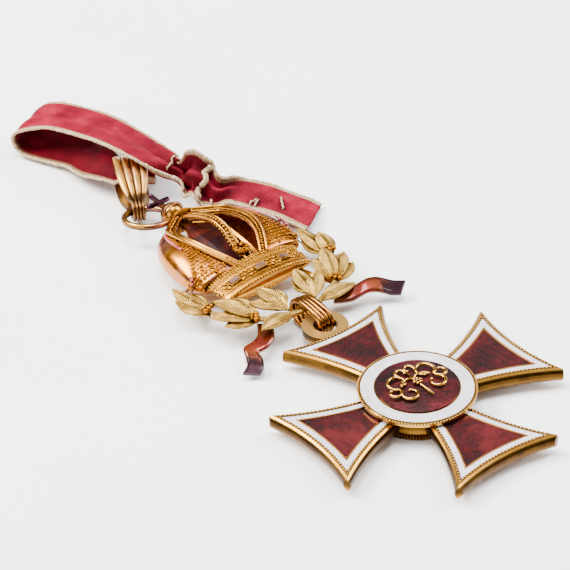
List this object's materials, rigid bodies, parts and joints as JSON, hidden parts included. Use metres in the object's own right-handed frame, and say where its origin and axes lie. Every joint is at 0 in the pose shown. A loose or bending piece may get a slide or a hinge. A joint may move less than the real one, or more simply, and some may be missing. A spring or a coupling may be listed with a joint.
{
  "type": "order neck badge",
  "caption": "Enamelled cross pattee with a round medallion, hung by a wound knot from a laurel wreath and crown, on a ring, a ribbed clasp and a folded ribbon.",
  "frame": {"origin": "centre of the reverse medallion's flat face, on which the cross lies", "axes": "+X to the viewer's right, +Y from the cross towards the crown and the ribbon, +Z out of the face"},
  "size_m": [0.0546, 0.1592, 0.0111],
  "materials": {
    "polished_gold": "polished yellow gold with a warm tarnish",
    "crown_gold": "granulated warm gold",
    "leaf_gold": "matt pale gold",
    "copper_gold": "polished coppery gold wire",
    "white_enamel": "opaque polished enamel",
    "red_enamel": "translucent enamel over an engine-turned ground",
    "lappet_enamel": "translucent red-brown enamel over gold",
    "pale_plaque": "opaque pale lilac enamel",
    "red_silk": "ribbed silk ribbon with cream edges"
  },
  "bodies": {
    "root": {"cross_body": "polished_gold", "white_border_top": "white_enamel", "white_border_left": "white_enamel", "white_border_bottom": "white_enamel", "white_border_right": "white_enamel", "red_panel_top": "red_enamel", "red_panel_left": "red_enamel", "red_panel_bottom": "red_enamel", "red_panel_right": "red_enamel", "back_white_top": "white_enamel", "back_white_left": "white_enamel", "back_white_bottom": "white_enamel", "back_white_right": "white_enamel", "back_red_top": "red_enamel", "back_red_left": "red_enamel", "back_red_bottom": "red_enamel", "back_red_right": "red_enamel", "front_medallion": "polished_gold", "white_ring": "white_enamel", "red_centre": "red_enamel", "scrollwork": "polished_gold", "back_medallion": "polished_gold", "knot": "copper_gold", "wreath": "leaf_gold", "lappet_left": "lappet_enamel", "lappet_right": "lappet_enamel", "crown": "crown_gold", "crown_cap": "red_enamel", "plaque_left": "pale_plaque", "plaque_middle": "pale_plaque", "plaque_right": "pale_plaque", "orb": "polished_gold", "suspension_ring": "polished_gold", "ribbon_clasp": "polished_gold", "ribbon": "red_silk"}
  },
  "joints": []
}
